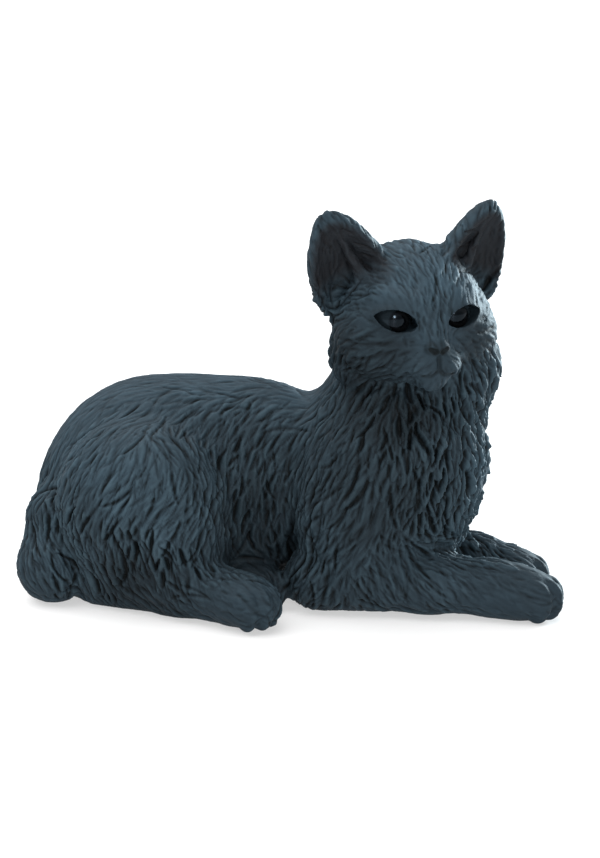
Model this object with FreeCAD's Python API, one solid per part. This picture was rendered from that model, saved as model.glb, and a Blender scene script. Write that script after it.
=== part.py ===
import FreeCAD, Part
import os
from math import asin, cos, sin
from FreeCAD import Matrix, Placement, Rotation, Vector

# A lying cat in matt black clay, about a hand long. X points the way the body
# faces, Y to the cat's left, Z up, and it lies on Z = 0. The body, head, ears,
# legs, paws and tail are cast in moulds of their own and joined face to face
# with slip. The body and the head are hollow, and the eyes are glass domes.

# Walls and openings
WALL = 4.0                 # fired wall of the two hollow castings
VENT_RADIUS = 3.0          # drain hole through the floor of the body
NECK_SEAM = 50.0           # height of the flat seam between body and head

# Body masses: centre, then half sizes along X, Y and Z
RUMP = (-32.0, 4.0, 19.0), (31.5, 20.0, 34.6)
LOIN = (-13.0, 4.5, 30.0), (31.0, 13.0, 24.0)
CHEST = (25.0, 3.0, 33.0), (20.5, 17.5, 25.5)
RUFF = (37.5, 5.0, 59.0), (11.3, 12.5, 14.0)
SHOULDER = (17.0, 3.5, 25.0), (14.5, 9.5, 20.0)
SHOULDER_SPREAD = 11.0     # each side of the shoulders' middle
THIGH = (-35.5, 3.5, 24.0), (19.0, 13.5, 21.5)
THIGH_SPREAD = 13.5
KNEE = (-26.5, 3.5, 29.0), (12.8, 11.2, 15.5)
SHIN = (-24.5, 3.5, 16.0), (11.0, 11.0, 13.0)
KNEE_SPREAD = 15.3
THIGH_TILT = -11.0         # degrees, knee raised
BELLY_REAR = (-14.0, 4.0, 16.0), 14.0
BELLY_FRONT = (18.0, 3.0, 18.5), 16.0
WITHERS_REAR = (-8.0, 4.0, 34.5), 16.5
WITHERS_FRONT = (16.0, 4.0, 35.5), 14.5
NECK_LOW = (25.0, 4.0, 42.0), 19.0
NECK_HIGH = (26.5, 4.5, 60.0), 14.4

# Head: its middle, how far it is turned to the cat's right, and its masses,
# placed as left, forward and up in the head
HEAD_CENTRE = (27.3, 1.0, 71.4)
HEAD_TURN = 30.0           # degrees about Z, from looking along -Y
SKULL = (0.0, 0.5, 1.0), (17.2, 17.0, 16.0)
CHEEK = (10.2, 6.2, -4.5), (8.8, 8.6, 8.2)
RUFF_LEFT = (16.3, 1.2, -6.5), (7.0, 7.0, 10.5)
RUFF_RIGHT = (-12.8, 1.5, -8.0), (6.2, 7.0, 9.5)

# Face: the same, from a middle that lies a little to the cat's right
FACE_MIDDLE = -1.0
MUZZLE = (0.0, 12.4, -8.4), (8.0, 7.0, 5.6)
LIP = (2.7, 16.6, -9.2), (3.7, 3.4, 2.8)
CHIN = (0.0, 15.2, -12.4), (3.8, 3.6, 2.7)
NOSE = (0.0, 18.3, -5.4), (2.9, 1.6, 1.7)
BRIDGE_TOP = (0.0, 13.3, 3.8), 3.7
BRIDGE_TIP = (0.0, 17.6, -4.4), 1.9
BROW = (7.3, 11.6, 1.4), (6.1, 4.9, 4.9)
EYE_PLACE = (7.3, 10.9, 1.2)
EYE_RADIUS = 5.0
EYE_SEAT = 12.0            # how far forward the flat back of the eye lies
EYE_SLIT = (7.8, 15.0, 1.2), (5.2, 5.5, 2.8)

# Ears: root and tip in the head, and the cup cut into the front
EAR_ROOT = (14.0, 2.0, 8.0)
EAR_TIP = (20.4, 4.0, 22.9)
EAR_ROOT_RADIUS = 10.0
EAR_TIP_RADIUS = 2.8
EAR_FLATNESS = 0.6         # depth of an ear over its width
EAR_CUP_SCALE = 0.76
EAR_CUP_FORWARD = 4.4

# Legs: stations along each limb, as a point and a radius
FORELEG = ((8.0, 0.0, 7.6), 8.0), ((34.0, 1.0, 7.6), 7.4), ((50.0, 1.0, 6.0), 6.2)
FORELEG_RIGHT_SIDE = -6.0
FORELEG_LEFT_SIDE = 11.5
FOREPAW_RIGHT = (56.4, -4.8, 5.3)
FOREPAW_LEFT = (52.5, 12.5, 5.2)
FOREPAW_SIZE = (8.5, 7.6, 6.2)
HIND_LEG = ((-34.0, -11.0, 7.0), 7.6), ((-24.0, -14.5, 7.0), 7.6), ((-11.0, -19.5, 6.1), 6.6)
HINDPAW_RIGHT = (-7.0, -21.3, 5.7)
HINDPAW_LEFT = (-8.0, -8.0, 5.0)
HINDPAW_SIZE = (8.0, 7.5, 6.3)
HINDPAW_TURN = -25.0       # degrees, toes to the cat's right

# Toes of a paw: side and forward place over the paw's half sizes, and scale
TOES = (-0.62, 0.45, 0.92), (-0.22, 0.72, 1.0), (0.22, 0.72, 1.0), (0.62, 0.45, 0.92)
TOE_SIZE = (0.42, 0.27, 0.80)
TOE_DROP = 0.12

# Tail: down from the rump to the ground, then round the left side
TAIL = (
    ((-48.0, 1.0, 31.0), 8.0),
    ((-55.3, -5.0, 20.0), 7.4),
    ((-56.5, -8.0, 9.0), 7.8),
    ((-58.0, 5.0, 6.7), 7.0),
    ((-52.5, 17.0, 6.2), 6.4),
    ((-40.0, 23.4, 5.6), 5.8),
    ((-25.0, 24.9, 5.0), 5.2),
    ((-13.0, 23.4, 4.2), 4.4),
)
TAIL_LINKS = 14

HEAD_PLACE = Placement(Vector(*HEAD_CENTRE), Rotation(HEAD_TURN, 0, 0))
FACE_PLACE = HEAD_PLACE.multiply(Placement(Vector(FACE_MIDDLE, 0, 0), Rotation()))


def ellipsoid(centre, half_sizes, turn=Rotation()):
    """A solid ellipsoid about a point."""
    stretch = Matrix()
    stretch.scale(Vector(*half_sizes))
    solid = Part.makeSphere(1.0).transformGeometry(stretch)
    solid.Placement = Placement(Vector(*centre), turn)
    return solid


def link(start, end):
    """A ball at each end and the cone that touches both."""
    (a, a_radius), (b, b_radius) = start, end
    a, b = Vector(*a), Vector(*b)
    length = (b - a).Length
    lean = asin((a_radius - b_radius) / length)

    def on_ball(radius, height, angle):
        return Vector(radius * cos(angle), 0, height + radius * sin(angle))

    low, high = Vector(0, 0, -a_radius), Vector(0, 0, length + b_radius)
    touch_a, touch_b = on_ball(a_radius, 0, lean), on_ball(b_radius, length, lean)
    outline = Part.Wire([
        Part.Arc(low, on_ball(a_radius, 0, -0.6), touch_a).toShape(),
        Part.LineSegment(touch_a, touch_b).toShape(),
        Part.Arc(touch_b, on_ball(b_radius, length, 0.8), high).toShape(),
        Part.LineSegment(high, low).toShape(),
    ])
    solid = Part.Face(outline).revolve(Vector(0, 0, 0), Vector(0, 0, 1), 360)
    solid.Placement = Placement(a, Rotation(Vector(0, 0, 1), b - a))
    return solid


def joined(pieces):
    """One solid from pieces that overlap."""
    return pieces[0].multiFuse(list(pieces[1:])).removeSplitter()


def above_ground(solid):
    slab = Part.makeBox(200, 200, 40, Vector(-100, -100, -40))
    return solid.cut(slab)


def chain(stations):
    """A run of links, flat where it lies on the ground."""
    return joined([above_ground(link(a, b)) for a, b in zip(stations, stations[1:])])


def smoothed(stations, count):
    """More stations along a smooth curve through the given ones."""
    route = Part.BSplineCurve()
    route.interpolate([Vector(*point) for point, radius in stations])
    reach = [route.parameter(Vector(*point)) for point, radius in stations]
    finer = []
    for step in range(count + 1):
        along = reach[0] + (reach[-1] - reach[0]) * step / count
        span = max(index for index, value in enumerate(reach[:-1]) if value <= along)
        share = (along - reach[span]) / (reach[span + 1] - reach[span])
        radius = stations[span][1] + (stations[span + 1][1] - stations[span][1]) * share
        finer.append((tuple(route.value(along)), radius))
    return finer


def slice_z(solid, low, high):
    slab = Part.makeBox(200, 200, high - low, Vector(-100, -100, low))
    return solid.common(slab)


def within(place, point):
    """A point given as left, forward and up in the head or in the face."""
    left, forward, up = point
    return place.multVec(Vector(left, -forward, up))


def mass_in(place, mass, side=1, shrink=0.0):
    """An ellipsoid in the head or in the face, on the left (1) or the right (-1)."""
    (left, forward, up), (wide, deep, tall) = mass
    sizes = (wide - shrink, deep - shrink, tall - shrink)
    return ellipsoid(within(place, (side * left, forward, up)), sizes, place.Rotation)


def both_sides(mass, spread, turn=Rotation()):
    """The same mass on the cat's right and left."""
    (x, y, z), sizes = mass
    return [ellipsoid((x, y - spread, z), sizes, turn), ellipsoid((x, y + spread, z), sizes, turn)]


def front_mass():
    """Chest, neck and ruff, which the neck seam divides."""
    return joined([ellipsoid(*CHEST), link(NECK_LOW, NECK_HIGH), ellipsoid(*RUFF)])


def front_hollow():
    (chest, chest_sizes) = CHEST
    inner_chest = ellipsoid(chest, [size - WALL for size in chest_sizes])
    inner_neck = link((NECK_LOW[0], NECK_LOW[1] - WALL), (NECK_HIGH[0], NECK_HIGH[1] - WALL))
    return joined([inner_chest, inner_neck])


def torso_outside(front):
    turn = Rotation(0, THIGH_TILT, 0)
    shoulders = both_sides(SHOULDER, SHOULDER_SPREAD)
    thighs = both_sides(THIGH, THIGH_SPREAD, turn)
    thighs += both_sides(KNEE, KNEE_SPREAD, turn) + both_sides(SHIN, KNEE_SPREAD, turn)
    middle = [link(BELLY_REAR, BELLY_FRONT), slice_z(link(WITHERS_REAR, WITHERS_FRONT), 0, NECK_SEAM)]
    lower_front = slice_z(front, 0, NECK_SEAM)
    masses = [ellipsoid(*RUMP), ellipsoid(*LOIN), lower_front]
    return above_ground(joined(masses + middle + shoulders + thighs))


def torso_hollow():
    masses = []
    for centre, sizes in (RUMP, LOIN):
        masses.append(ellipsoid(centre, [size - WALL for size in sizes]))
    hollow = slice_z(joined(masses + [front_hollow()]), WALL, NECK_SEAM)
    x, y, z = RUMP[0]
    vent = Part.makeCylinder(VENT_RADIUS, 2 * WALL, Vector(x, y, -WALL / 2))
    return hollow.fuse(vent)


def eye(side):
    """A glass dome with a flat back."""
    left, forward, up = EYE_PLACE
    ball = Part.makeSphere(EYE_RADIUS, within(FACE_PLACE, (side * left, forward, up)))
    behind = Part.makeBox(20, 20, 20, Vector(-10, -EYE_SEAT, -10))
    behind.Placement = FACE_PLACE.multiply(Placement(Vector(side * left, 0, up), Rotation()))
    return ball.cut(behind)


def head_outside(front):
    masses = [slice_z(front, NECK_SEAM, 200)]
    masses += [mass_in(HEAD_PLACE, mass) for mass in (SKULL, RUFF_LEFT, RUFF_RIGHT)]
    masses += [mass_in(FACE_PLACE, mass) for mass in (MUZZLE, CHIN, NOSE)]
    for side in (-1, 1):
        masses.append(mass_in(HEAD_PLACE, CHEEK, side))
        masses += [mass_in(FACE_PLACE, LIP, side), mass_in(FACE_PLACE, BROW, side)]
    (top, top_radius), (tip, tip_radius) = BRIDGE_TOP, BRIDGE_TIP
    masses.append(link((within(FACE_PLACE, top), top_radius), (within(FACE_PLACE, tip), tip_radius)))
    face = joined(masses)
    for side in (-1, 1):
        face = face.cut(mass_in(FACE_PLACE, EYE_SLIT, side))
    return face


def head_hollow():
    skull = mass_in(HEAD_PLACE, SKULL, shrink=WALL)
    return joined([skull, slice_z(front_hollow(), NECK_SEAM, 200)])


def ear(side):
    """A cupped leaf on the head, open to the front."""
    left, forward, up = EAR_ROOT
    root = within(HEAD_PLACE, (side * left, forward, up))
    left, forward, up = EAR_TIP
    tip = within(HEAD_PLACE, (side * left, forward, up))
    axis = tip - root
    length = axis.Length

    def leaf(scale, rise):
        """A round body, swollen at the root and rounded at both ends."""
        wide = EAR_ROOT_RADIUS * scale
        top = Vector(0, 0, length + EAR_TIP_RADIUS * scale)
        bottom = Vector(0, 0, -wide)
        curve = Part.BSplineCurve()
        curve.interpolate([
            Vector(wide, 0, 0),
            Vector(wide * 0.85, 0, length * 0.4),
            Vector(wide * 0.56, 0, length * 0.78),
            Vector(EAR_TIP_RADIUS * scale * 0.8, 0, length + EAR_TIP_RADIUS * scale * 0.5),
            top,
        ])
        outline = Part.Wire([
            Part.Arc(bottom, Vector(wide * sin(0.8), 0, -wide * cos(0.8)), Vector(wide, 0, 0)).toShape(),
            curve.toShape(),
            Part.LineSegment(top, bottom).toShape(),
        ])
        body = Part.Face(outline).revolve(Vector(0, 0, 0), Vector(0, 0, 1), 360)
        flatten = Matrix()
        flatten.scale(Vector(1, EAR_FLATNESS, 1))
        body = body.transformGeometry(flatten)
        body.translate(Vector(0, 0, rise))
        return body

    outside = leaf(1.0, 0.0)
    cup = leaf(EAR_CUP_SCALE, -0.6)
    cup.translate(Vector(0, -EAR_CUP_FORWARD, 0))
    shell = outside.cut(cup)
    upright = axis.normalize()
    opening = HEAD_PLACE.Rotation.multVec(Vector(side * 0.3, -0.95, 0))
    across = upright.cross(opening * -1).normalize()
    shell.Placement = Placement(root, Rotation(across * -1, upright.cross(across * -1), upright, "ZXY"))
    return shell


def paw(centre, sizes, turn_degrees=0.0):
    """A rounded foot with four toes along its front."""
    turn = Rotation(turn_degrees, 0, 0)
    long, wide, tall = sizes
    masses = [ellipsoid(centre, sizes, turn)]
    for side, forward, scale in TOES:
        offset = turn.multVec(Vector(forward * long, side * wide, -TOE_DROP * tall))
        toe = (TOE_SIZE[0] * long * scale, TOE_SIZE[1] * wide, TOE_SIZE[2] * tall)
        masses.append(ellipsoid(Vector(*centre) + offset, toe, turn))
    return joined(masses)


def foreleg(side_place, paw_centre):
    stations = [((x, y + side_place, z), radius) for (x, y, z), radius in FORELEG]
    return above_ground(joined([chain(stations), paw(paw_centre, FOREPAW_SIZE)]))


def save(name, solid):
    solid.Solids[0].exportStep("parts/" + name + ".step")


def build():
    os.makedirs("parts", exist_ok=True)
    front = front_mass()
    torso = torso_outside(front)
    head = head_outside(front)
    eyes = {"eye_right": eye(-1), "eye_left": eye(1)}
    save("torso", torso.cut(torso_hollow()))
    save("head", head.cut(head_hollow()).cut(eyes["eye_right"]).cut(eyes["eye_left"]))
    for name, solid in eyes.items():
        save(name, solid)
    save("ear_right", ear(-1).cut(head))
    save("ear_left", ear(1).cut(head))
    save("foreleg_right", foreleg(FORELEG_RIGHT_SIDE, FOREPAW_RIGHT).cut(torso))
    save("foreleg_left", foreleg(FORELEG_LEFT_SIDE, FOREPAW_LEFT).cut(torso))
    hind_right = above_ground(joined([chain(HIND_LEG), paw(HINDPAW_RIGHT, HINDPAW_SIZE, HINDPAW_TURN)]))
    hind_left = above_ground(paw(HINDPAW_LEFT, HINDPAW_SIZE, HINDPAW_TURN))
    save("hind_paw_right", hind_right.cut(torso))
    save("hind_paw_left", hind_left.cut(torso).cut(hind_right))
    save("tail", chain(smoothed(TAIL, TAIL_LINKS)).cut(torso))


build()
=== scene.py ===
import bpy
import math
import numpy as np
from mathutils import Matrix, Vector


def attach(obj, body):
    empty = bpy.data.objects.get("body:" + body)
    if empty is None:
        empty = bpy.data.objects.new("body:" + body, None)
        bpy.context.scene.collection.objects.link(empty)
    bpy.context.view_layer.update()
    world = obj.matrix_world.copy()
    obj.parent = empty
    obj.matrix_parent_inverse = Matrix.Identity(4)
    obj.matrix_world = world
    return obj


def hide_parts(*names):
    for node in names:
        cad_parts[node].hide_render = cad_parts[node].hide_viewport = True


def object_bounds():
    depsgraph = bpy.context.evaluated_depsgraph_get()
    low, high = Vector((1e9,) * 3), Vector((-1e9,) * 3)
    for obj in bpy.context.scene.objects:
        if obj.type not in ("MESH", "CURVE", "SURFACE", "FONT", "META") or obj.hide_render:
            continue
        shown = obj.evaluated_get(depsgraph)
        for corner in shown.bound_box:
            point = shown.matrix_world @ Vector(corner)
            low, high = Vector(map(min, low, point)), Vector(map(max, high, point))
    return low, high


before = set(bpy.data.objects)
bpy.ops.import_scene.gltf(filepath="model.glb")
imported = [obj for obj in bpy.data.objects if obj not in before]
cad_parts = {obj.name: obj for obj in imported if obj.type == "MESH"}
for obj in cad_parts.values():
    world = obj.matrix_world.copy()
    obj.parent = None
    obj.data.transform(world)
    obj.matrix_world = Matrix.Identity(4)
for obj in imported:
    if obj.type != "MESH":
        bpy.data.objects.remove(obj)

import openvdb
from mathutils import Vector

cad_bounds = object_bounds()

# A lying cat in matt black clay. The clay is worked out in millimetres, in the
# frame of the CAD model: X the way the body faces, Y to the cat's left, Z up.
MM = 0.001
CELL = 3.6                        # first grid of the clay's distance field
SPLITS = ((4, 3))
BODY_MIDDLE = 3.5                 # Y of the plane that halves the body
CLOSURE_DEPTH = 0.8               # how far under the skin a casting's closing faces start
NECK_SEAM = 50.0


# ---------------------------------------------------------------- directions

def unit(v):
    return v / np.linalg.norm(v)


def turned(yaw=0.0, pitch=0.0):
    """Columns are the local axes after a pitch about Y and a yaw about Z."""
    y, p = math.radians(yaw), math.radians(pitch)
    about_z = np.array([[math.cos(y), -math.sin(y), 0], [math.sin(y), math.cos(y), 0], [0, 0, 1]])
    about_y = np.array([[math.cos(p), 0, math.sin(p)], [0, 1, 0], [-math.sin(p), 0, math.cos(p)]])
    return about_z @ about_y


HEAD_CENTRE = np.array([27.3, 1.0, 71.4])
HEAD_AXES = turned(30.0)          # the head looks to the cat's right


def in_head(left, forward, up):
    """A point in the head, given from the cat's point of view."""
    return HEAD_CENTRE + HEAD_AXES @ np.array([left, -forward, up])


def in_face(left, forward, up):
    """The same for the features, whose middle is a little to the cat's right."""
    return in_head(left - 1.3, forward, up)


# ------------------------------------------------- distances to simple masses

def ellipsoid(p, centre, sizes, axes=None):
    q = p - np.float32(centre)
    if axes is not None:
        q = q @ np.float32(axes)
    q = q / np.float32(sizes)
    reach = np.sqrt((q ** 2).sum(1))
    slope = np.sqrt(((q / np.float32(sizes)) ** 2).sum(1)) + 1e-9
    return reach * (reach - 1) / slope


def head_ellipsoid(p, left, forward, up, sizes):
    return ellipsoid(p, in_head(left, forward, up), sizes, HEAD_AXES)


def face_ellipsoid(p, left, forward, up, sizes):
    return ellipsoid(p, in_face(left, forward, up), sizes, HEAD_AXES)


def link(p, start, end, start_radius, end_radius):
    """Two balls and the cone between them."""
    start = np.float32(start)
    run = np.float32(end) - start
    q = p - start
    share = np.clip(q @ run / (run @ run), 0, 1)
    gap = q - share[:, None] * run
    return np.sqrt((gap ** 2).sum(1)) - (start_radius + (end_radius - start_radius) * share)


def blend(a, b, width):
    """The union of two masses, filled where they meet."""
    near = np.maximum(width - np.abs(a - b), 0) / width
    return np.minimum(a, b) - near * near * width * 0.25


def carve(a, b, width):
    """What is left of a when b is cut away."""
    return -blend(-a, b, width)


def chain(p, stations, width=3.0):
    """Links through points that each have a radius."""
    d = None
    for (a, a_radius), (b, b_radius) in zip(stations, stations[1:]):
        piece = link(p, a, b, a_radius, b_radius)
        d = piece if d is None else blend(d, piece, width)
    return d


# --------------------------------------------------------------- the cat's clay

def haunch(p, side):
    """The folded hind leg's thigh, round over the knee."""
    thigh = ellipsoid(p, (-35.5, BODY_MIDDLE + 13.5 * side, 24), (19, 13.5, 21.5), turned(pitch=-10))
    knee = ellipsoid(p, (-26.5, BODY_MIDDLE + 15.3 * side, 29), (12.8, 11.2, 15.5), turned(pitch=-12))
    shin = ellipsoid(p, (-24.5, BODY_MIDDLE + 15.3 * side, 16), (11, 11, 13), turned(pitch=-12))
    return blend(blend(thigh, knee, 5), shin, 5)


def torso(p):
    d = ellipsoid(p, (-32, 4, 19), (31.5, 20, 34.6))
    d = blend(d, ellipsoid(p, (-13, 4.5, 30), (31, 13, 24)), 6)
    d = blend(d, ellipsoid(p, (25, 3, 33), (20.5, 17.5, 25.5)), 7)
    for side in (-1, 1):
        d = carve(d, ellipsoid(p, (-7, BODY_MIDDLE + 19.5 * side, 15), (6, 7.5, 15)), 4)
    for side in (-1, 1):
        d = blend(d, ellipsoid(p, (17, BODY_MIDDLE + 11 * side, 25), (14.5, 9.5, 20)), 4)
        d = blend(d, haunch(p, side), 3)
    return d


def neck(p):
    d = link(p, (25, 4, 42), (26.5, 4.5, 60), 19.0, 14.4)
    return blend(d, ellipsoid(p, (37.5, 5, 59), (11.3, 12.5, 14)), 5)


EYE_SIDES = {"eye_right": -1, "eye_left": 1}
EYE_PLACE = np.array([7.3, 10.9, 1.2])      # left, forward, up in the face
EYE_RADIUS = 5.0
EYE_TILT = 14.0                             # degrees, outer corner raised


def eye_centre(side):
    left, forward, up = EYE_PLACE
    return in_face(left * side, forward, up)


def eye_opening(p, side):
    """Distance to the almond between the lids."""
    a = math.radians(EYE_TILT)
    tilt = np.array([[math.cos(a), 0, -side * math.sin(a)], [0, 1, 0], [side * math.sin(a), 0, math.cos(a)]])
    axes = HEAD_AXES @ tilt
    left, forward, up = EYE_PLACE
    centre = in_face((left + 0.5) * side, forward + 4, up)
    upper = ellipsoid(p, centre - axes @ np.array([0, 0, 2.5]), (6.1, 6, 5.3), axes)
    lower = ellipsoid(p, centre + axes @ np.array([0, 0, 2.8]), (6.1, 6, 5.3), axes)
    return np.maximum(upper, lower)


def face_mass(p):
    """The head without its ears, before the eyes and the mouth are cut."""
    d = head_ellipsoid(p, 0, 0.5, 1, (17.2, 17, 16))
    for side in (-1, 1):
        d = blend(d, head_ellipsoid(p, 10.4 * side, 6.6, -4.5, (8.9, 8.6, 8.8)), 6)
    d = blend(d, face_ellipsoid(p, 0.6, 13.0, -8.4, (7.6, 7.4, 5.6)), 5)
    for side in (-1, 1):
        d = blend(d, face_ellipsoid(p, 0.6 + 2.7 * side, 17.4, -9.2, (3.6, 3.6, 2.8)), 1.4)
    d = blend(d, face_ellipsoid(p, 0.6, 16.2, -12.6, (3.5, 3.6, 2.5)), 1.4)
    d = blend(d, link(p, in_face(0, 13.3, 3.8), in_face(0.6, 18.6, -3.9), 3.7, 1.9), 3)
    for side in (-1, 1):
        left, forward, up = EYE_PLACE
        d = blend(d, face_ellipsoid(p, left * side, forward + 0.7, up + 0.2, (6.1, 4.9, 4.9)), 2.5)
        d = blend(d, link(p, in_face(3.2 * side, 15.2, 4.6), in_face(10.8 * side, 11.6, 7.0), 1.6, 1.3), 3)
    return blend(d, face_ellipsoid(p, 0.6, 19.5, -4.7, (3.0, 1.5, 1.7)), 0.4)


def on_face(left, up):
    """The point of the face's surface straight ahead of a place in it."""
    forward = 28.0
    for _ in range(60):
        forward -= 0.8 * float(face_mass(in_face(left, forward, up)[None].astype(np.float32))[0])
    return in_face(left, forward, up)


MOUTH_MIDDLE = 0.6
MOUTH = (0, -6.6), (0, -9.6), (1.3, -10.8), (2.6, -11.1), (3.9, -10.9)
FACE_CUTS = [(on_face(MOUTH_MIDDLE + side * a, b), on_face(MOUTH_MIDDLE + side * c, d))
             for side in (-1, 1) for (a, b), (c, d) in zip(MOUTH, MOUTH[1:])]
NOSTRILS = [(on_face(MOUTH_MIDDLE + side * 1.0, -5.4), on_face(MOUTH_MIDDLE + side * 1.9, -4.9))
            for side in (-1, 1)]


def skull(p):
    d = face_mass(p)
    for start, end in FACE_CUTS:
        d = carve(d, link(p, start, end, 0.42, 0.4), 0.3)
    for start, end in NOSTRILS:
        d = carve(d, link(p, start, end, 0.7, 0.45), 0.3)
    for side in (-1, 1):
        opening = eye_opening(p, side)
        d = d - 0.45 * np.exp(-(opening / 0.7) ** 2)
        d = carve(d, opening, 0.3)
    return d


def cheek_ruff(p, d):
    """The long hair of the cheeks, behind the face and pushed out on the far side."""
    d = blend(d, head_ellipsoid(p, 16.0, -1.6, -7.0, (7.0, 7.4, 11.0)), 1.0)
    return blend(d, head_ellipsoid(p, -12.8, 1.5, -8, (6.2, 7.0, 9.5)), 1.5)


def ear_frame(side):
    """The ear's root, its length and its axes: across, front, up."""
    root = in_head(14.0 * side, 2.0, 8)
    tip = in_head(21.0 * side - 1.0, 4.2, 25.6 + 0.4 * side)
    up = unit(tip - root)
    front = HEAD_AXES @ np.array([0.3 * side, -0.95, 0])
    front = unit(front - up * (front @ up))
    return root, np.linalg.norm(tip - root), np.stack([np.cross(up, front), front, up], 1)


def leaf(q, length, width, flatness):
    """A flattened round body that narrows to a blunt tip."""
    share = np.clip(q[:, 2] / length, 0, 1)
    radius = width * (1 - share ** 1.6) ** 0.6
    past = np.maximum(q[:, 2] - length, 0) + np.minimum(q[:, 2], 0)
    return 0.6 * (np.sqrt(q[:, 0] ** 2 + (q[:, 1] / flatness) ** 2 + past ** 2) - radius)


def ear_cup(q, length):
    return leaf(q - np.float32((0, 4.4, 1.0)), length - 2.4, 8.6, 0.7)


def ear(p, side):
    root, length, axes = ear_frame(side)
    q = (p - np.float32(root)) @ np.float32(axes)
    d = carve(leaf(q, length, 9.9, 0.6), ear_cup(q, length), 1.0)
    fold = np.float32((-2.2 * side, 1.2, 0.15 * length)), np.float32((-0.8 * side, 0.6, 0.75 * length))
    return blend(d, link(q, *fold, 1.3, 0.5), 0.8)


TOES = (-0.62, 0.45, 0.92), (-0.22, 0.72, 1.0), (0.22, 0.72, 1.0), (0.62, 0.45, 0.92)


def paw(p, centre, yaw, sizes, groove=0.9):
    axes = turned(yaw)
    long, wide, tall = sizes
    d = ellipsoid(p, centre, sizes, axes)
    for side, forward, scale in TOES:
        place = np.array(centre) + axes @ np.array([forward * long, side * wide, -0.12 * tall])
        d = blend(d, ellipsoid(p, place, (long * 0.42 * scale, wide * 0.27, tall * 0.8), axes), groove)
    return d


def foreleg_right(p):
    d = chain(p, [((8, -6, 8), 8), ((34, -5, 8), 7.4), ((50, -4.6, 6.6), 6.2), ((55, -4.6, 6.1), 6)])
    return blend(d, paw(p, (56.4, -4.6, 5.8), 0, (8.5, 7.3, 6.2)), 2)


def foreleg_left(p):
    d = chain(p, [((8, 13, 8), 8), ((34, 12, 10), 7.8), ((45, 12, 7.4), 6.6), ((50, 12, 6.2), 6.1)])
    return blend(d, paw(p, (52.5, 12, 5.6), 0, (8.5, 7.6, 6.2)), 2)


def hind_paw_right(p):
    d = chain(p, [((-44, -8, 7), 8), ((-24, -14.5, 7.5), 7.6), ((-11, -19.5, 6.5), 6.6)])
    return blend(d, paw(p, (-7, -21.3, 6.3), -25, (8, 7.2, 6.2)), 2)


def hind_paw_left(p):
    return paw(p, (-8, -8, 5.5), -25, (7.5, 7.5, 6))


def tail(p):
    return chain(p, [((-48, 1, 31), 8), ((-55.3, -5, 20), 7.4), ((-56.3, -8.8, 8.4), 8.0),
                     ((-58, 4, 6.8), 7), ((-52.5, 17, 6.2), 6.4), ((-40, 23.4, 5.6), 5.8),
                     ((-25, 24.9, 5), 5.2), ((-13, 23.4, 4.2), 4.4)], 4)


def clay(p):
    """Distance to the surface of the whole cat, negative inside."""
    d = blend(torso(p), neck(p), 8)
    d = blend(d, hind_paw_right(p), 2.5)
    d = blend(d, hind_paw_left(p), 1.0)
    d = blend(d, foreleg_right(p), 3)
    d = blend(d, foreleg_left(p), 3)
    d = blend(d, tail(p), 1.0)
    d = blend(cheek_ruff(p, d), skull(p), 1.2)
    for side in (-1, 1):
        d = blend(d, ear(p, side), 2)
    return carve(d, p[:, 2], 0.6)


# ------------------------------------------------------------------- the skin

def lattice(counts):
    return np.stack(np.meshgrid(*[np.arange(n) for n in counts], indexing="ij"), -1).reshape(-1, 3)


def clay_skin():
    """Points and quads on the clay's surface, from a grid that is fine only near it."""
    low = np.float32(cad_bounds[0]) / MM - 8
    high = np.float32(cad_bounds[1]) / MM + 8
    low[2] = -4
    counts = np.ceil((high - low) / CELL).astype(int) + 1
    size = CELL
    values = clay(low + lattice(counts) * np.float32(size)).reshape(counts)
    for split in SPLITS:
        near = np.argwhere(np.abs(values) < size * 1.9)
        for axis in range(3):
            values = np.repeat(values, split, axis)
        counts = np.array(values.shape)
        size /= split
        fine = (near[:, None] * split + lattice((split,) * 3)[None]).reshape(-1, 3)
        for block in np.array_split(fine, len(fine) // 400000 + 1):
            values[tuple(block.T)] = clay(low + block * np.float32(size))
    grid = openvdb.FloatGrid(3 * size)
    grid.copyFromArray(np.clip(values, -3 * size, 3 * size))
    grid.transform = openvdb.createLinearTransform(voxelSize=size)
    points, _, quads = grid.convertToPolygons(isovalue=0.0)
    return points + low, quads.astype(np.int64)


def vertex_normals(points, quads):
    a, b, c, d = (points[quads[:, i]] for i in range(4))
    face = np.cross(c - a, d - b)
    total = np.stack([
        np.bincount(quads.ravel(), np.repeat(face[:, axis], 4), len(points)) for axis in range(3)
    ], 1)
    return total / (np.linalg.norm(total, axis=1, keepdims=True) + 1e-12)


def neighbour_mean(values, quads, rounds):
    """Values at the skin's points, averaged over the quads around them."""
    for _ in range(rounds):
        share = values[quads].mean(1)
        total = [np.bincount(quads.ravel(), np.repeat(column, 4), len(values)) for column in share.T]
        count = np.bincount(quads.ravel(), minlength=len(values))[:, None]
        values = np.stack(total, 1) / np.maximum(count, 1)
    return values


# -------------------------------------------------------------------- the fur

# Hair styles: stroke length, stroke depth, tuft height, and depth of deep cuts
STYLES = {
    "sleek": (6.5, 0.13, 0.0, 0.0),
    "soft": (7.0, 0.26, 0.0, 0.35),
    "coat": (6.8, 0.40, 0.1, 0.7),
    "shaggy": (6.5, 0.55, 0.4, 1.6),
    "tuft": (6.0, 0.55, 1.5, 1.7),
    "brow": (3.8, 0.26, 0.0, 0.1),
    "face": (2.6, 0.19, 0.0, 0.0),
    "leg": (4.0, 0.26, 0.0, 0.3),
    "paw": (2.8, 0.1, 0.0, 0.0),
}

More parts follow.
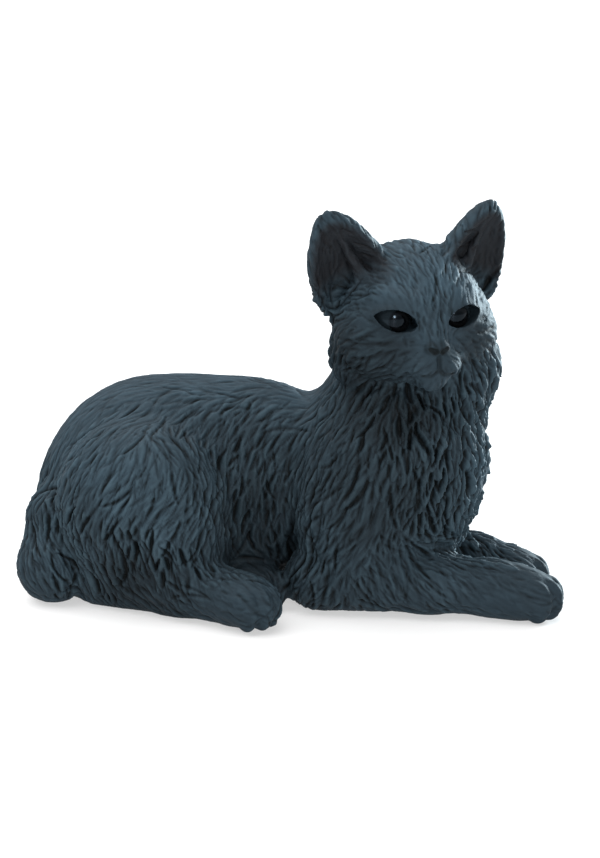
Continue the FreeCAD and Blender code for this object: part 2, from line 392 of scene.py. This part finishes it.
# How the coat lies: a place on the cat's right, the way the hair runs there and
# its style. The left side mirrors it.
BODY_GUIDES = [
    ((10, 4, 54), (-0.9, 0, -0.4), "sleek"), ((0, 4, 53), (-1, 0, -0.1), "sleek"),
    ((-20, 4, 54), (-1, 0, 0), "sleek"), ((-40, 4, 52), (-0.95, 0, -0.3), "sleek"),
    ((-55, 4, 38), (-0.5, 0, -0.9), "sleek"), ((-50, -13, 38), (-0.5, -0.2, -0.8), "soft"),
    ((-36, -17, 43), (-0.5, -0.3, -0.8), "soft"), ((-18, -13, 48), (-0.5, -0.4, -0.8), "coat"),
    ((-8, -12, 47), (-0.55, -0.3, -0.8), "coat"), ((2, -13, 45), (-0.5, -0.3, -0.85), "coat"),
    ((-27, -22, 44), (0.75, -0.2, -0.4), "soft"), ((-17, -22, 39), (0.4, 0, -0.9), "soft"),
    ((-12, -21, 30), (-0.15, 0, -1), "coat"), ((-15, -22, 20), (-0.55, 0, -0.8), "coat"),
    ((-24, -24, 26), (-0.7, 0, -0.7), "soft"), ((-30, -24, 37), (-0.3, 0, -0.9), "soft"),
    ((-36, -25, 30), (-0.55, 0, -0.85), "soft"), ((-46, -22, 30), (-0.4, 0, -0.9), "soft"),
    ((-52, -18, 22), (-0.15, 0, -1), "shaggy"), ((-38, -24, 14), (0, 0, -1), "shaggy"),
    ((-28, -24, 14), (0.1, 0, -1), "shaggy"), ((-20, -23, 13), (0.25, 0, -0.95), "shaggy"),
    ((-47, -20, 8), (0.2, 0, -1), "shaggy"), ((-8, -14, 38), (-0.3, -0.1, -0.95), "coat"),
    ((-6, -14, 28), (-0.1, 0, -1), "shaggy"), ((-4, -14, 15), (0, 0, -1), "shaggy"),
    ((5, -16, 35), (-0.4, 0, -0.9), "coat"), ((6, -17, 20), (-0.4, 0, -0.9), "coat"),
    ((4, -15, 8), (-0.5, 0, -0.8), "coat"), ((16, -18, 34), (-0.5, 0, -0.85), "coat"),
    ((17, -18, 19), (-0.55, 0, -0.8), "soft"), ((27, -17, 28), (-0.25, 0, -0.95), "coat"),
    ((36, -14, 42), (0.1, -0.2, -1), "tuft"), ((43, -8, 36), (0.4, -0.2, -0.9), "tuft"),
    ((46, 3, 34), (0.35, 0, -0.95), "tuft"), ((39, -12, 27), (0.25, -0.2, -0.95), "tuft"),
    ((43, 0, 20), (0.1, 0, -1), "tuft"), ((14, -10, 56), (-0.5, -0.3, -0.8), "coat"),
    ((20, -15, 50), (-0.35, -0.2, -0.95), "coat"), ((30, -17, 52), (0.1, -0.3, -0.95), "tuft"),
    ((42, -11, 50), (0.35, -0.3, -0.9), "tuft"), ((48, 2, 55), (0.3, 0, -0.95), "tuft"),
    ((11, 4, 62), (-0.45, 0, -0.85), "sleek"), ((26, -13, 13), (0.3, -0.1, -0.6), "leg"),
    ((40, -13, 8), (0.6, 0, -0.7), "leg"), ((36, -6, 15), (1, 0, -0.1), "leg"),
    ((50, -12, 7), (0.8, 0, -0.4), "paw"), ((60, -6, 9), (1, 0, -0.3), "paw"),
    ((-32, -24, 7), (0.5, -0.2, -0.6), "leg"), ((-16, -26, 9), (0.9, -0.3, -0.2), "paw"),
    ((-6, -26, 8), (0.9, -0.4, -0.1), "paw"), ((-8, -10, 9), (0.9, -0.4, -0.1), "paw"),
]
TAIL_GUIDES = [
    ((-60, -6, 27), (-0.3, 0, -0.9), "coat"), ((-63, -8, 18), (0.1, -0.1, -1), "coat"),
    ((-57, -15, 14), (0.45, 0, -0.9), "coat"), ((-60, -15, 7), (0.4, -0.2, -0.7), "leg"),
    ((-65, 4, 8), (0, 1, -0.2), "coat"), ((-56, 20, 8), (0.6, 0.8, 0), "coat"),
    ((-40, 30, 7), (1, 0.25, 0), "coat"), ((-22, 30, 6), (1, -0.1, 0), "leg"),
]
# The same on the head, as left, forward and up
HEAD_GUIDES = [
    ((0, 17, 0), (0, -0.3, 1), "face"), ((0, 15, 8), (0, -0.5, 0.9), "brow"),
    ((-5, 13, 9), (-0.35, -0.5, 0.8), "brow"), ((0, 5, 17), (0, -1, 0.2), "brow"),
    ((-9, 6, 14), (-0.5, -0.8, 0.3), "brow"), ((-8, 14, 6), (-0.3, -0.3, 0.9), "face"),
    ((-14, 9, 5), (-0.7, -0.6, 0.2), "face"), ((-9, 13, -4), (-0.8, -0.5, -0.3), "face"),
    ((-16, 6, -3), (-0.5, -0.7, -0.5), "brow"), ((-18, 0, 2), (-0.1, -0.8, -0.6), "coat"),
    ((-12, 9, -11), (-0.5, -0.5, -0.7), "coat"), ((-4, 18, -8), (-0.7, -0.2, -0.5), "face"),
    ((0, 16, -13), (0, -0.5, -0.8), "face"), ((-17, -3, -10), (-0.3, -0.4, -0.85), "shaggy"),
    ((-10, 4, -18), (-0.2, -0.2, -0.95), "tuft"), ((0, 10, -18), (0, 0, -1), "tuft"),
    ((0, -17, 4), (0, -0.3, -0.95), "coat"), ((-12, -14, 2), (-0.2, -0.4, -0.9), "coat"),
    ((-19, -7, 15), (-0.3, -0.2, 1), "face"), ((-18, 0, 14), (-0.2, 0.2, 1), "face"),
]


def groom_guides():
    """Every guide of both sides in the cat's frame: places, directions, styles."""
    rows = [(np.array(place), np.array(way), style) for place, way, style in BODY_GUIDES + TAIL_GUIDES]
    for place, way, style in BODY_GUIDES:
        x, y, z = place
        rows.append((np.array([x, 2 * BODY_MIDDLE - y, z]), np.array(way) * (1, -1, 1), style))
    for place, way, style in HEAD_GUIDES:
        for side in (1, -1):
            (left, forward, up), (to_left, ahead, rise) = place, way
            turned_way = HEAD_AXES @ np.array([side * to_left, -ahead, rise])
            rows.append((in_head(side * left, forward, up), turned_way, style))
    places, ways, styles = zip(*rows)
    ways = np.array([unit(way) for way in ways])
    return np.array(places), ways, np.array([STYLES[style] for style in styles])


GUIDE_PLACES, GUIDE_WAYS, GUIDE_STYLES = groom_guides()


def groom(p):
    """The way the hair runs at each point, and its style."""
    ways = np.empty((len(p), 3))
    styles = np.empty((len(p), 4))
    for some in np.array_split(np.arange(len(p)), len(p) // 20000 + 1):
        gap = ((p[some, None] - GUIDE_PLACES[None]) ** 2).sum(2)
        weight = 1 / (gap + 3.0) ** 2
        weight /= weight.sum(1, keepdims=True)
        ways[some] = weight @ GUIDE_WAYS
        styles[some] = weight @ GUIDE_STYLES
    return ways, styles


def cubes(p, size):
    """An order that keeps the points of a cube together, and where each cube's run is."""
    place = np.floor(p / size).astype(np.int64) + 512
    key = (place[:, 0] << 20) + (place[:, 1] << 10) + place[:, 2]
    order = np.argsort(key, kind="stable")
    found, first = np.unique(key[order], return_index=True)
    runs = zip(first, np.append(first[1:], len(order)))
    return order, dict(zip(found.tolist(), runs))


def scatter(p, spacing, rng):
    """About one point of the skin in each cube of this size."""
    mixed = rng.permutation(len(p))
    order, runs = cubes(p[mixed] + rng.uniform(0, spacing, 3), spacing)
    return mixed[order[[start for start, _ in runs.values()]]]


def marks_on(p, n, spacing, rng, jitter=10.0):
    """Tool marks spread over the skin, each with its own axes along the hair."""
    chosen = scatter(p, spacing, rng)
    centre, up = p[chosen], n[chosen]
    ways, styles = groom(centre)
    along = ways - up * (ways * up).sum(1, keepdims=True)
    along /= np.linalg.norm(along, axis=1, keepdims=True) + 1e-9
    across = np.cross(up, along)
    swing = np.radians(rng.normal(0, jitter, len(chosen)))[:, None]
    along = along * np.cos(swing) + across * np.sin(swing)
    return {"centre": centre, "up": up, "along": along, "across": np.cross(up, along), "style": styles,
            "bend": rng.normal(0, 0.35, len(chosen)), "phase": rng.uniform(0, 6.3, len(chosen))}


def groove(u, v, length, width, bend, phase):
    """A lens-shaped cut, deepest in the middle."""
    taper = np.sqrt(np.clip(1 - (2 * u / length) ** 2, 0, 1))
    off = np.abs(v - bend * u * u / length) / (0.5 * width * taper + 1e-6)
    return taper * np.clip(1 - off, 0, 1) ** 0.85


def ridge(u, v, length, width, bend, phase):
    """A low rounded strand, highest in the middle."""
    taper = np.sqrt(np.clip(1 - (2 * u / length) ** 2, 0, 1))
    off = (v - bend * u * u / length) / (0.5 * width * taper + 1e-6)
    return taper * np.clip(1 - off * off, 0, 1)


def tuft(u, v, length, width, bend, phase):
    """A lock that rises from its root, splits into strands and ends in a point."""
    t = np.clip(u / length + 0.5, 0, 1)
    half = 0.5 * width * 1.75 * t ** 0.4 * (1 - t) ** 0.6
    off = (v - bend * u * u / length) / (half + 1e-6)
    body = np.sqrt(np.clip(1 - off * off, 0, 1))
    strands = 1 - 0.16 * (1 + np.cos(7.5 * off + phase)) * t
    return np.clip(t / 0.7, 0, 1) * (0.45 + 0.55 * t) * body * strands


def lay(p, n, marks, length, width, height, profile):
    """The relief that a set of marks leaves on the skin: the highest mark wins."""
    relief = np.zeros(len(p))
    size = float(np.percentile(length, 98)) * 0.5
    point_order, point_runs = cubes(p, size)
    mark_order, mark_runs = cubes(marks["centre"], size)
    steps = [(a << 20) + (b << 10) + c for a in (-1, 0, 1) for b in (-1, 0, 1) for c in (-1, 0, 1)]
    for key, (start, stop) in mark_runs.items():
        some = mark_order[start:stop]
        some = some[height[some] > 0.03]
        runs = [point_runs[key + step] for step in steps if key + step in point_runs]
        if not len(some):
            continue
        near = np.concatenate([point_order[a:b] for a, b in runs])
        gap = p[near][None] - marks["centre"][some][:, None]
        u = np.einsum("mkc,mc->mk", gap, marks["along"][some])
        v = np.einsum("mkc,mc->mk", gap, marks["across"][some])
        w = np.einsum("mkc,mc->mk", gap, marks["up"][some])
        facing = marks["up"][some] @ n[near].T
        shape = [a[some][:, None] for a in (length, width, marks["bend"], marks["phase"])]
        value = profile(u, v, *shape) * height[some][:, None]
        value[(np.abs(w) > 0.4 * shape[0]) | (facing < 0.25)] = 0
        relief[near] = np.maximum(relief[near], value.max(0))
    return relief


def fur_relief(p, n):
    """How far the carved coat stands above or below the smooth clay."""
    rng = np.random.default_rng(11)

    def layer(spacing, jitter, column, least, most, shortest, longest):
        marks = marks_on(p, n, spacing, rng, jitter)
        count = len(marks["bend"])
        height = marks["style"][:, column] * rng.uniform(least, most, count)
        return marks, height, rng.uniform(shortest, longest, count)

    marks, height, scale = layer(3.7, 14, 2, 0.6, 1.1, 0.75, 1.3)
    relief = lay(p, n, marks, 9.5 * scale, 4.3 * scale, height, tuft)
    marks, height, scale = layer(2.2, 10, 1, -0.2, 1.0, 0.8, 1.5)
    relief += lay(p, n, marks, marks["style"][:, 0] * 1.2 * scale, 1.6 * scale, height, ridge)
    marks, height, scale = layer(1.5, 9, 1, -0.4, 1.7, 0.5, 1.4)
    relief -= lay(p, n, marks, marks["style"][:, 0] * scale, 0.85 + 0.2 * scale, height, groove)
    marks, height, scale = layer(3.1, 12, 3, -0.3, 1.1, 0.6, 1.5)
    relief -= lay(p, n, marks, 5.2 * scale, 1.6 * scale, height, groove)
    marks, height, scale = layer(5.0, 18, 1, -0.8, 2.4, 0.7, 1.5)
    return relief - lay(p, n, marks, 9.0 * scale, 1.3 * scale, height, groove)


def bare(p):
    """0 where the clay stays smooth: lids, nose, lips and the ground face. 1 in the coat."""
    free = np.clip(p[:, 2] / 2.5, 0, 1)
    for side in (-1, 1):
        away = np.linalg.norm(p - eye_centre(side), axis=1)
        free = np.minimum(free, np.clip((away - EYE_RADIUS - 0.7) / 2.5, 0, 1))
    away = np.linalg.norm(p - in_face(0, 17, -7.5), axis=1)
    return np.minimum(free, np.clip((away - 3.0) / 4, 0.1, 1))


# Painted light and shade: how pale the clay is painted, paler on the back where light falls and darker low
# on the flanks, under the belly and under the chin where shade falls. A place on the cat's right and the
# colour's strength there. The left side mirrors it.
PAINTED_LIGHT_AND_SHADE = [
    ((-20, 4, 54), 1.1), ((-45, 4, 46), 1.1), ((0, 4, 53), 1.0), ((12, 4, 58), 0.9),
    ((-50, -13, 38), 1.1), ((-34, -24, 34), 1.15), ((-24, -24, 26), 1.05), ((-45, -22, 20), 0.75),
    ((-36, -25, 8), 0.35), ((-24, -24, 9), 0.5), ((-14, -22, 38), 0.8), ((-16, -14, 46), 0.8),
    ((-8, -12, 40), 0.6), ((-6, -11, 26), 0.45), ((-8, -10, 12), 0.35), ((3, -15, 34), 0.6),
    ((8, -17, 18), 0.7), ((17, -18, 30), 0.5), ((26, -16, 28), 0.5), ((36, -13, 40), 0.6),
    ((30, -13, 50), 0.25), ((20, -13, 56), 0.35), ((44, -5, 34), 0.85), ((42, -5, 48), 0.7),
    ((30, -12, 12), 0.75), ((45, -10, 8), 0.85), ((62, -5, 8), 0.7), ((-5, -27, 8), 0.8),
    ((-14, -25, 8), 0.75), ((-62, -6, 20), 0.75), ((-60, -14, 10), 0.8), ((46, 8, 60), 0.8),
]
# The painted light and shade on both sides of the head, as left, forward and up: paler on the brow, darker
# under the cheeks
HEAD_PAINTED_LIGHT_AND_SHADE = [
    ((0, 14, 10), 1.3), ((0, 6, 17), 1.15), ((-8, 12, 9), 1.2), ((0, 19, 0), 1.0),
    ((-10, 14, -5), 0.45), ((-15, 6, -8), 0.4), ((0, 18, -12), 0.85), ((8.5, 13, 1), 0.75),
    ((-18, -4, 6), 0.75), ((-19, -4, 20), 0.9),
]


def painted_light_and_shade_at(p):
    """The painted light and shade at each point: the colour's strength, shared out from the places around
    it.
    """
    rows = PAINTED_LIGHT_AND_SHADE + [((x, 2 * BODY_MIDDLE - y, z), painted_shading) for (x, y, z), painted_shading in PAINTED_LIGHT_AND_SHADE]
    for (left, forward, up), painted_shading in HEAD_PAINTED_LIGHT_AND_SHADE:
        rows += [(in_head(left, forward, up), painted_shading), (in_head(-left, forward, up), painted_shading)]
    total, share = np.zeros(len(p)), np.zeros(len(p))
    for place, painted_shading in rows:
        weight = 1 / (((p - place) ** 2).sum(1) + 8) ** 2
        total += weight * painted_shading
        share += weight
    return total / share


def face_shade_lines_and_nose(p):
    """Painted shade on the lid rims, in the nostrils and along the mouth's cut line, and a darker nose pad:
    how much darker the clay is there.
    """
    line = np.zeros(len(p))
    near = np.linalg.norm(p - in_face(0, 14, -2), axis=1) < 18
    q = p[near]
    face_shade_lines = np.zeros(len(q))
    # Painted shade along the lid rims and in the carved nostrils and mouth line
    for side in (-1, 1):
        face_shade_lines = np.maximum(face_shade_lines, 0.25 * np.exp(-(eye_opening(q, side) / 1.1) ** 2))
    for start, end in FACE_CUTS:
        face_shade_lines = np.maximum(face_shade_lines, 0.7 * np.exp(-(np.maximum(link(q, start, end, 0.3, 0.3), 0) / 0.3) ** 2))
    for start, end in NOSTRILS:
        face_shade_lines = np.maximum(face_shade_lines, np.exp(-(np.maximum(link(q, start, end, 0.7, 0.5), 0) / 0.3) ** 2))
    nose = face_ellipsoid(q, 0.6, 19.5, -4.7, (3.0, 1.5, 1.7))
    line[near] = np.maximum(face_shade_lines, 0.5 * np.exp(-(np.maximum(nose, 0) / 0.4) ** 2))
    return line


def ear_hollow_shade_and_tint(p):
    """1 in the hollows of the ears, which are painted darker as shade, with a faint brown cast."""
    ear_shade_and_tint = np.zeros(len(p))
    for side in (-1, 1):
        root, length, axes = ear_frame(side)
        q = (p - root) @ axes
        near = (q[:, 2] > -2) & (q[:, 2] < length) & (np.abs(q[:, 0]) < 10) & (np.abs(q[:, 1]) < 8)
        hollow = np.clip(1.0 - ear_cup(q[near], length) / 1.3, 0, 1) * np.clip((q[near][:, 2] + 1) / 5, 0, 1)
        ear_shade_and_tint[near] = np.maximum(ear_shade_and_tint[near], 0.8 * hollow)
    return ear_shade_and_tint


points, quads = clay_skin()
smooth_normals = vertex_normals(points, quads)
# Painted shade in the ear hollows, with a faint brown cast
ear_shade_and_tint = ear_hollow_shade_and_tint(points)
# Painted light and shade: how pale the clay is painted at each point
painted_shading = painted_light_and_shade_at(points)
# Painted shade in the face's cut lines and on the lid rims, and a darker nose pad
face_shade_lines = face_shade_lines_and_nose(points)
relief = fur_relief(points, smooth_normals) * bare(points)
points = points + smooth_normals * relief[:, None]
points[:, 2] = np.maximum(points[:, 2], 0)
# Painted shade: the clay is darker in the fur's cuts, the face's cut lines and the nose pad, paler on the
# ridges
shade = relief - neighbour_mean(relief[:, None], quads, 12)[:, 0] - 0.3 * face_shade_lines
normals = vertex_normals(points, quads)


# ------------------------------------------------------------------ the pieces

def node_labels(p):
    """Which casting each point belongs to."""
    seam_side = p[:, 2] - NECK_SEAM
    front = neck(p)
    body = torso(p)
    face = skull(p)
    upper = np.minimum(face, np.where(seam_side > 0, front, 99))
    upper = np.where((seam_side > 0) & (p[:, 0] > 5), np.minimum(upper, body), upper)
    lower = np.minimum(np.where(seam_side > 0, np.where(p[:, 0] > 5, 99, body), body),
                       np.where(seam_side > 0, 99, front))
    fields = {
        "torso": lower, "head": upper, "ear_right": ear(p, -1), "ear_left": ear(p, 1),
        "foreleg_right": foreleg_right(p), "foreleg_left": foreleg_left(p),
        "hind_paw_right": hind_paw_right(p), "hind_paw_left": hind_paw_left(p), "tail": tail(p),
    }
    return list(fields), np.argmin(np.stack(list(fields.values())), 0)


def quad_labels():
    """One casting per quad, with smooth borders and no islands."""
    names, label = node_labels(points)
    share = neighbour_mean(np.eye(len(names))[label], quads, 6)
    return names, np.argmax(share[quads].sum(1), 1)


def link_object(name, data):
    made = bpy.data.objects.new(name, data)
    bpy.context.scene.collection.objects.link(made)
    return made


def border_loops(faces):
    """The open borders of some quads, each as a run of point numbers."""
    ends = np.stack([faces, np.roll(faces, -1, 1)], 2).reshape(-1, 2)
    code = ends[:, 0] * len(points) + ends[:, 1]
    back = ends[:, 1] * len(points) + ends[:, 0]
    follow = {}
    for a, b in ends[~np.isin(code, back)].tolist():
        follow.setdefault(b, []).append(a)
    loops = []
    while follow:
        start = next(iter(follow))
        loop, at = [start], start
        while True:
            choices = follow[at]
            step = choices.pop()
            if not choices:
                del follow[at]
            at = step
            if at == start:
                break
            loop.append(at)
        loops.append(loop)
    return loops


def hub_for(ring):
    """A point inside the clay that sees the whole of a border loop through the clay."""
    low, high = ring.min(0) - 6, ring.max(0) + 6
    trial = low + (high - low) * (lattice((8, 8, 8)) + 0.5) / 8
    trial = trial[clay(trial.astype(np.float32)) < -2.0]
    some = ring[::max(1, len(ring) // 60)]
    share = np.array([0.15, 0.35, 0.6, 0.85])[:, None, None, None]
    rays = some + (trial[:, None] - some) * share
    depth = clay(rays.reshape(-1, 3).astype(np.float32)).reshape(rays.shape[:3])
    return trial[np.argmin(np.clip(depth + 0.8, 0, 3).sum((0, 2)))]


def casting(name, faces):
    """One casting's share of the skin, closed inside the clay over each border.

    The closure goes straight in from the border and then fans to a hub.
    """
    used, local = np.unique(faces, return_inverse=True)
    local = local.reshape(-1, 4)
    number = {point: place for place, point in enumerate(used.tolist())}
    places, ways = points[used], normals[used]
    fans = []
    for loop in border_loops(faces):
        first, count = len(places), len(loop)
        under = points[loop] - CLOSURE_DEPTH * smooth_normals[loop]
        places = np.vstack([places, under, hub_for(points[loop])])
        ways = np.vstack([ways, smooth_normals[loop], (0, 0, 1)])
        outer = [number[point] for point in loop]
        inner = list(range(first, first + count))
        for a, b, c, d in zip(outer, outer[1:] + outer[:1], inner[1:] + inner[:1], inner):
            fans += [(a, b, c, d), (d, c, first + count)]
    mesh = bpy.data.meshes.new(name)
    mesh.from_pydata((places * MM).tolist(), [], local.tolist() + fans)
    mesh.polygons.foreach_set("use_smooth", np.ones(len(mesh.polygons), bool))
    mesh.normals_split_custom_set_from_vertices(ways.tolist())
    # Painted shade in the cuts, painted shade in the ear hollows, and painted light and shade go with the
    # skin's points
    for trait, whole in (("cut_shade_and_pale_ridges", shade), ("ear_shade_and_tint", ear_shade_and_tint), ("painted_shading", painted_shading)):
        values = np.zeros(len(places), np.float32)
        values[:len(used)] = whole[used]
        mesh.attributes.new(trait, "FLOAT", "POINT").data.foreach_set("value", values)
    made = link_object(name + "_clay", mesh)
    mesh.materials.append(clay_material)
    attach(made, "root")
    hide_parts(name)


def clay_finish():
    """Matt clay: painted shade darkens the cuts, the ridges are paler, faintly mottled."""
    material = bpy.data.materials.new("matt_black_clay")
    material.use_nodes = True
    nodes, links = material.node_tree.nodes, material.node_tree.links
    shader = nodes["Principled BSDF"]

    def add(kind, **settings):
        node = nodes.new(kind)
        for name, value in settings.items():
            if name in node.inputs:
                node.inputs[name].default_value = value
            else:
                setattr(node, name, value)
        return node

    cut_shade_and_pale_ridges = add("ShaderNodeAttribute", attribute_name="cut_shade_and_pale_ridges")
    spread = add("ShaderNodeMapRange", **{"From Min": -0.3, "From Max": 0.3})
    ramp = add("ShaderNodeValToRGB")
    stops = ramp.color_ramp.elements
    # Painted shade: the darkest colour goes in the cuts, the palest on the ridges
    stops[0].position, stops[0].color = 0.0, (0.0025, 0.0050, 0.0062, 1)
    stops[1].position, stops[1].color = 1.0, (0.038, 0.065, 0.084, 1)
    stops.new(0.5).color = (0.0188, 0.0325, 0.0438, 1)
    place = add("ShaderNodeTexCoord")
    mottle = add("ShaderNodeTexNoise", Scale=170.0, Detail=4.0, Roughness=0.6)
    mottled = add("ShaderNodeMapRange", **{"From Min": 0.3, "From Max": 0.7, "To Min": 0.8, "To Max": 1.2})
    tint = add("ShaderNodeVectorMath", operation="MULTIPLY")
    links.new(cut_shade_and_pale_ridges.outputs["Fac"], spread.inputs["Value"])
    links.new(spread.outputs["Result"], ramp.inputs["Fac"])
    links.new(place.outputs["Object"], mottle.inputs["Vector"])
    links.new(mottle.outputs["Fac"], mottled.inputs["Value"])
    links.new(ramp.outputs["Color"], tint.inputs[0])
    # Painted light and shade scales the clay's colour, together with the mottle
    painted_shading = add("ShaderNodeAttribute", attribute_name="painted_shading")
    strength = add("ShaderNodeMath", operation="MULTIPLY")
    links.new(painted_shading.outputs["Fac"], strength.inputs[0])
    links.new(mottled.outputs["Result"], strength.inputs[1])
    links.new(strength.outputs["Value"], tint.inputs[1])
    ear_shade_and_tint = add("ShaderNodeAttribute", attribute_name="ear_shade_and_tint")
    mix = add("ShaderNodeMix", data_type="RGBA")
    # Painted shade in the ear hollows: a darker colour with a faint brown cast
    mix.inputs[7].default_value = (0.0095, 0.0085, 0.0095, 1)
    links.new(ear_shade_and_tint.outputs["Fac"], mix.inputs["Factor"])
    links.new(tint.outputs["Vector"], mix.inputs[6])
    links.new(mix.outputs[2], shader.inputs["Base Color"])
    grain = add("ShaderNodeTexNoise", Scale=2600.0, Detail=3.0)
    gloss = add("ShaderNodeMapRange", **{"To Min": 0.6, "To Max": 0.8})
    bump = add("ShaderNodeBump", Strength=0.12, Distance=0.0001)
    links.new(place.outputs["Object"], grain.inputs["Vector"])
    links.new(grain.outputs["Fac"], gloss.inputs["Value"])
    links.new(gloss.outputs["Result"], shader.inputs["Roughness"])
    links.new(grain.outputs["Fac"], bump.inputs["Height"])
    links.new(bump.outputs["Normal"], shader.inputs["Normal"])
    shader.inputs["Specular IOR Level"].default_value = 0.12
    return material


def eye(name, side):
    """A glass dome with a flat back, its pole turned the way the eye looks."""
    centre = eye_centre(side)
    gaze = unit(HEAD_AXES @ np.array([0.08, -1.0, -0.02]))
    sideways = unit(np.cross((0, 0, 1), gaze))
    above = np.cross(gaze, sideways)
    rings, sectors = 24, 48
    places, rim = [centre + EYE_RADIUS * gaze], [0.0]
    for ring in range(1, rings + 1):
        angle = math.radians(100) * ring / rings
        for sector in range(sectors):
            turn = 2 * math.pi * sector / sectors
            out = sideways * math.cos(turn) + above * math.sin(turn)
            places.append(centre + EYE_RADIUS * (gaze * math.cos(angle) + out * math.sin(angle)))
            rim.append(angle)
    faces = [(0, 1 + sector, 1 + (sector + 1) % sectors) for sector in range(sectors)]
    for ring in range(rings - 1):
        for sector in range(sectors):
            a, b = 1 + ring * sectors + sector, 1 + ring * sectors + (sector + 1) % sectors
            faces.append((a, a + sectors, b + sectors, b))
    last = 1 + (rings - 1) * sectors
    faces.append(tuple(reversed(range(last, last + sectors))))
    mesh = bpy.data.meshes.new(name)
    mesh.from_pydata([tuple(place * MM) for place in places], [], faces)
    mesh.polygons.foreach_set("use_smooth", [True] * len(faces))
    mesh.attributes.new("rim", "FLOAT", "POINT").data.foreach_set("value", rim)
    made = link_object(name + "_glass", mesh)
    mesh.materials.append(glass_material)
    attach(made, "root")
    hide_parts(name)


def glass_finish():
    """Black glass with a ring a little paler than the pupil, by the angle from the pole."""
    material = bpy.data.materials.new("black_glass_eye")
    material.use_nodes = True
    nodes, links = material.node_tree.nodes, material.node_tree.links
    shader = nodes["Principled BSDF"]
    rim = nodes.new("ShaderNodeAttribute")
    rim.attribute_name = "rim"
    ramp = nodes.new("ShaderNodeValToRGB")
    ramp.color_ramp.elements[0].position = 0.26
    ramp.color_ramp.elements[0].color = (0.0005, 0.0006, 0.0008, 1)
    ramp.color_ramp.elements[1].position = 0.62
    ramp.color_ramp.elements[1].color = (0.008, 0.012, 0.015, 1)
    for place, shade_of in ((0.32, 0.004), (0.44, 0.003), (0.5, 0.0006)):
        stop = ramp.color_ramp.elements.new(place)
        stop.color = (shade_of * 0.9, shade_of, shade_of * 1.15, 1)
    links.new(rim.outputs["Fac"], ramp.inputs["Fac"])
    links.new(ramp.outputs["Color"], shader.inputs["Base Color"])
    shader.inputs["Roughness"].default_value = 0.12
    shader.inputs["Specular IOR Level"].default_value = 0.16
    shader.inputs["Specular Tint"].default_value = (0.6, 0.8, 1.0, 1)
    return material


clay_material = clay_finish()
glass_material = glass_finish()
names, casting_of = quad_labels()
for place, name in enumerate(names):
    casting(name, quads[casting_of == place])
for name, side in EYE_SIDES.items():
    eye(name, side)


# ------------------------------------------------------------ floor and light

def floor():
    """A pale floor with a little light of its own, so that the contact shadow stays soft."""
    mesh = bpy.data.meshes.new("floor")
    mesh.from_pydata([(-14, -14, 0), (14, -14, 0), (14, 14, 0), (-14, 14, 0)], [], [(0, 1, 2, 3)])
    made = link_object("floor", mesh)
    material = bpy.data.materials.new("floor")
    material.use_nodes = True
    shader = material.node_tree.nodes["Principled BSDF"]
    shader.inputs["Base Color"].default_value = (0.45, 0.45, 0.45, 1)
    shader.inputs["Emission Color"].default_value = (1, 1, 1, 1)
    shader.inputs["Emission Strength"].default_value = 0.5
    mesh.materials.append(material)


def sun(name, heading, power, softness, colour=(1, 1, 1)):
    """Light that comes from a direction, softened like a window of that many degrees."""
    light = bpy.data.lights.new(name, "SUN")
    light.angle = math.radians(softness)
    light.energy = power
    light.color = colour
    made = link_object(name, light)
    made.rotation_mode = "QUATERNION"
    made.rotation_quaternion = Vector(heading).to_track_quat("Z", "Y")


def camera(azimuth, elevation, distance, lens, aim):
    a, e = math.radians(azimuth), math.radians(elevation)
    back = Vector((math.sin(a) * math.cos(e), -math.cos(a) * math.cos(e), math.sin(e)))
    made = link_object("camera", bpy.data.cameras.new("camera"))
    made.data.lens = lens
    made.data.clip_start = 0.01
    made.location = Vector(aim) * MM + back * distance
    made.rotation_mode = "QUATERNION"
    made.rotation_quaternion = (-back).to_track_quat("-Z", "Y")
    bpy.context.scene.camera = made


floor()
world = bpy.data.worlds.new("studio")
bpy.context.scene.world = world
world.use_nodes = True
studio = world.node_tree.nodes["Background"]
studio.inputs["Color"].default_value = (1, 1, 1, 1)
# The backdrop is paler to look at than it is as a light
seen = world.node_tree.nodes.new("ShaderNodeLightPath")
backdrop = world.node_tree.nodes.new("ShaderNodeMapRange")
backdrop.inputs["To Min"].default_value = 0.5
backdrop.inputs["To Max"].default_value = 0.95
world.node_tree.links.new(seen.outputs["Is Camera Ray"], backdrop.inputs["Value"])
world.node_tree.links.new(backdrop.outputs["Result"], studio.inputs["Strength"])
sun("softbox", (-0.35, 0.05, 1), 4.4, 80)
sun("edge", (0.56, 0.81, 0.14), 11.0, 14, (0.75, 0.92, 1.0))
sun("glint", (0.456, -0.822, 0.25), 1.4, 12.0)
camera(9.0, 14.0, 0.482, 85.0, (2.5, 0.5, 42.5))
bpy.context.scene.view_settings.view_transform = "Standard"
